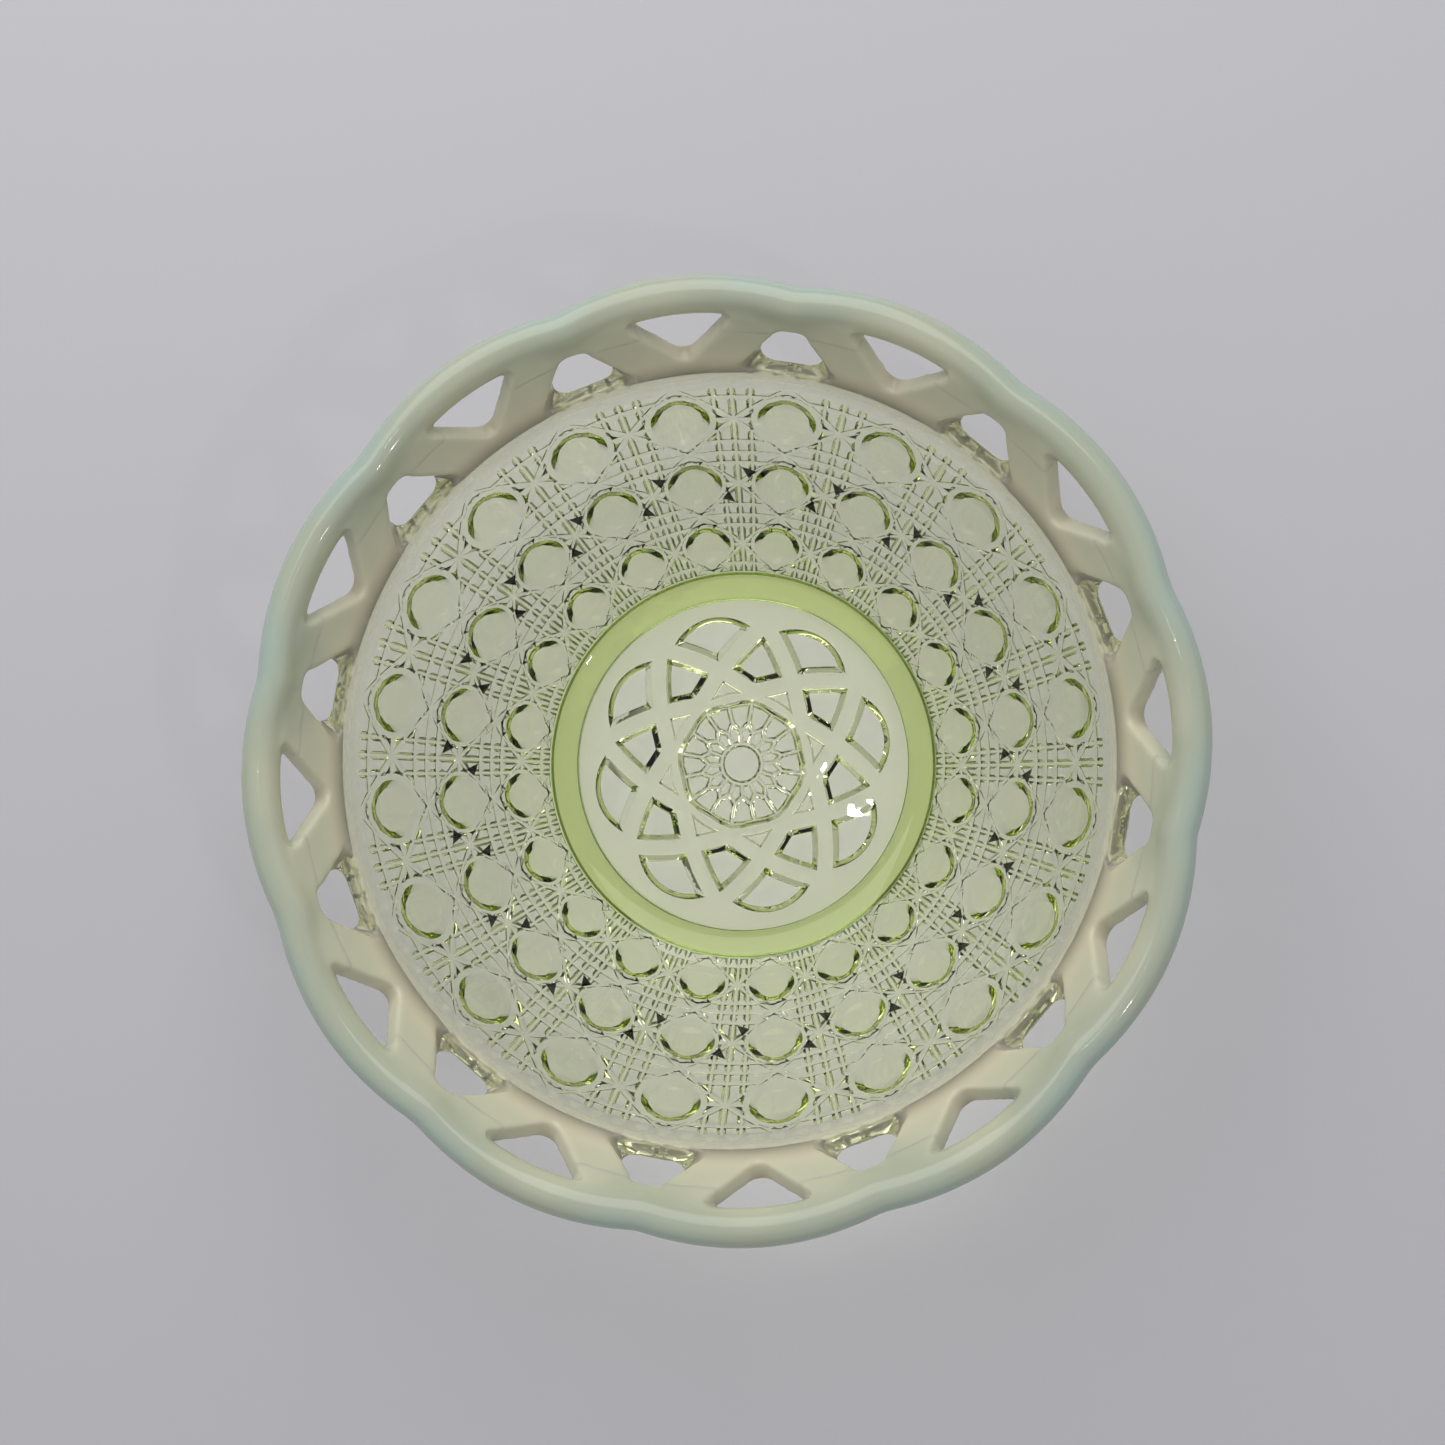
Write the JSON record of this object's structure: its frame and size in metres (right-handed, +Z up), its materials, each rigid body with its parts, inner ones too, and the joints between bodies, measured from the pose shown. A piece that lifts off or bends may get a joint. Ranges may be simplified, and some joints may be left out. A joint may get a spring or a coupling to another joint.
{
  "type": "uranium glass dish",
  "caption": "Round pressed glass serving bowl with a pierced, scalloped milky rim, a patterned flaring wall and a foot ring under a flat floor.",
  "frame": {"origin": "centre of the foot's resting plane", "axes": "+Z up along the dish's own axis, +X through a pinch of the rim and a mould seam"},
  "size_m": [0.1974, 0.1974, 0.072],
  "materials": {
    "clear_glass": "clear pressed glass with a faint yellow-green tint",
    "opal_glass": "milky opalescent pressed glass, smooth and glossy"
  },
  "bodies": {
    "root": {"foot_ring": "clear_glass", "base_floor": "clear_glass", "wall_lower": "clear_glass", "wall_middle": "clear_glass", "wall_upper": "clear_glass", "bead_band": "clear_glass", "collar": "clear_glass", "lattice_bars": "opal_glass", "rim_hoop": "opal_glass"}
  },
  "joints": []
}
